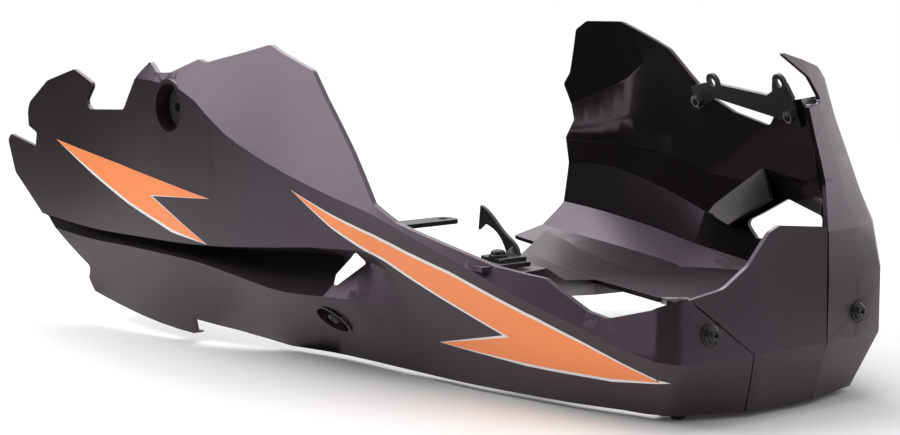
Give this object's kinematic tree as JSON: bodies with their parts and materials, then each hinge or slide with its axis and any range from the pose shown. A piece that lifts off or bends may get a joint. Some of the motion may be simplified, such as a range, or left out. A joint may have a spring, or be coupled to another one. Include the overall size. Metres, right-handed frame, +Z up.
{
  "type": "motorcycle belly pan",
  "caption": "Belly pan that goes under a motorcycle engine: long and short moulded side panels joined by a nose panel and a tray, with gill vents, brackets and screws.",
  "frame": {"origin": "middle of the bounding box at its underside, which is the level of the lower screw heads under the nose", "axes": "+X to the front of the motorcycle, +Y to its left, +Z up, as the pan sits on the motorcycle"},
  "size_m": [0.7048, 0.336, 0.2262],
  "materials": {
    "black_moulding": "satin black outside, gloss black inside",
    "black_screw": "black oxide",
    "nylon_washer": "matte",
    "zinc_clip": "zinc plated",
    "black_bracket": "satin black powder coat",
    "rubber": "matte",
    "sleeve_steel": "black passivated"
  },
  "bodies": {
    "root": {"right_side_panel": "black_moulding", "left_side_panel": "black_moulding", "nose_centre_panel": "black_moulding", "nose_screws": "black_screw", "nose_washers": "nylon_washer", "nose_clip_nuts": "zinc_clip", "underside_screws": "black_screw", "underside_clip_nuts": "zinc_clip", "side_screw": "black_screw", "side_washer": "nylon_washer", "side_nut": "zinc_clip", "rear_mount_grommet": "rubber", "rear_mount_sleeve": "sleeve_steel", "stay_bracket": "black_bracket", "stay_screw": "black_screw", "hook_bracket": "black_bracket", "hook_screw": "black_screw", "hook_clip_nut": "zinc_clip", "tray_clip_nut": "zinc_clip", "front_mount_bracket": "black_bracket", "front_bracket_screws": "black_screw", "front_bracket_nuts": "zinc_clip"}
  },
  "joints": []
}
